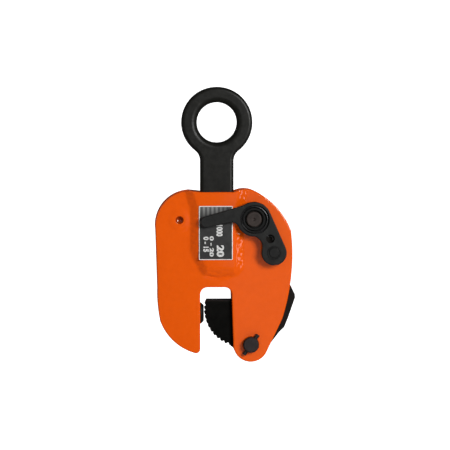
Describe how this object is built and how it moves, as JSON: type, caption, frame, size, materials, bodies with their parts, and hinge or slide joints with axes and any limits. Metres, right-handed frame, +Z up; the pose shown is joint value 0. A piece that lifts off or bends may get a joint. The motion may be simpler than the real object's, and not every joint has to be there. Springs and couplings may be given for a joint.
{
  "type": "plate lifting clamp",
  "caption": "Vertical plate lifting clamp: lifting eye on a sliding shank, pressed two-plate housing, linked toothed cam, swivel jaw and lock lever.",
  "frame": {"origin": "centre of the lifting eye, in the clamp's middle plane", "axes": "+Z up along the shank; +X from the jaw's side to the cam's side; -Y is the front, with the lock lever and nameplate"},
  "size_m": [0.1261, 0.0497, 0.2473],
  "materials": {
    "housing_paint": "glossy orange paint",
    "forged_black": "satin black paint on a forging",
    "lever_black": "matt black oxide",
    "black_steel": "black oxide",
    "hardened_cam": "phosphated hardened steel",
    "shaft_steel": "turned, lightly browned",
    "plain_steel": "turned and oiled",
    "spring_steel": "drawn wire and strip",
    "bush_bronze": "sintered bronze",
    "nameplate_aluminium": "black printed aluminium with a bare border"
  },
  "bodies": {
    "housing": {"front_side_plate": "housing_paint", "rear_side_plate": "housing_paint", "jaw_side_web": "housing_paint", "cam_side_web": "housing_paint", "anvil_block": "housing_paint", "spacer_stud": "housing_paint", "cam_pin": "black_steel", "cam_pin_roll_pins": "spring_steel", "lock_shaft_bushes": "bush_bronze", "jaw_keeper_pin": "plain_steel", "nameplate": "nameplate_aluminium"},
    "shackle": {"shackle": "forged_black", "shackle_pin": "plain_steel", "shackle_pin_washers": "plain_steel", "shackle_pin_clips": "spring_steel"},
    "link": {"cam_link": "forged_black"},
    "cam": {"toothed_cam": "hardened_cam", "cam_bush": "bush_bronze", "link_pin": "plain_steel"},
    "lock": {"lock_lever": "lever_black", "latch_lobe": "plain_steel", "latch_lobe_pin": "spring_steel", "lock_shaft": "shaft_steel", "lock_shaft_clip": "spring_steel", "lever_rivet": "lever_black", "lever_spring": "spring_steel"},
    "jaw": {"swivel_jaw": "hardened_cam"}
  },
  "joints": [
    {"name": "shackle_slide", "type": "slide", "parent": "shackle", "child": "housing", "axis": [0, 0, 1], "range_m": [0, 0.0228]},
    {"name": "link_pivot", "type": "hinge", "parent": "shackle", "child": "link", "pos_m": [0, 0, -0.0923], "axis": [0, 1, 0], "range_deg": [-9.5, 0]},
    {"name": "cam_pivot", "type": "hinge", "parent": "housing", "child": "cam", "pos_m": [0.0302, 0, -0.1995], "axis": [0, 1, 0], "range_deg": [0, 37]},
    {"name": "jaw_swivel", "type": "hinge", "parent": "housing", "child": "jaw", "pos_m": [-0.0155, 0, -0.1722], "axis": [1, 0, 0], "continuous": true},
    {"name": "lock_lever_turn", "type": "hinge", "parent": "housing", "child": "lock", "pos_m": [0.0325, 0, -0.0863], "axis": [0, 1, 0], "range_deg": [0, 100]}
  ],
  "couplings": [
    {"joint": "cam_pivot", "follows": "shackle_slide", "rad_per_m": 28.17},
    {"joint": "link_pivot", "follows": "shackle_slide", "rad_per_m": -7.152}
  ]
}
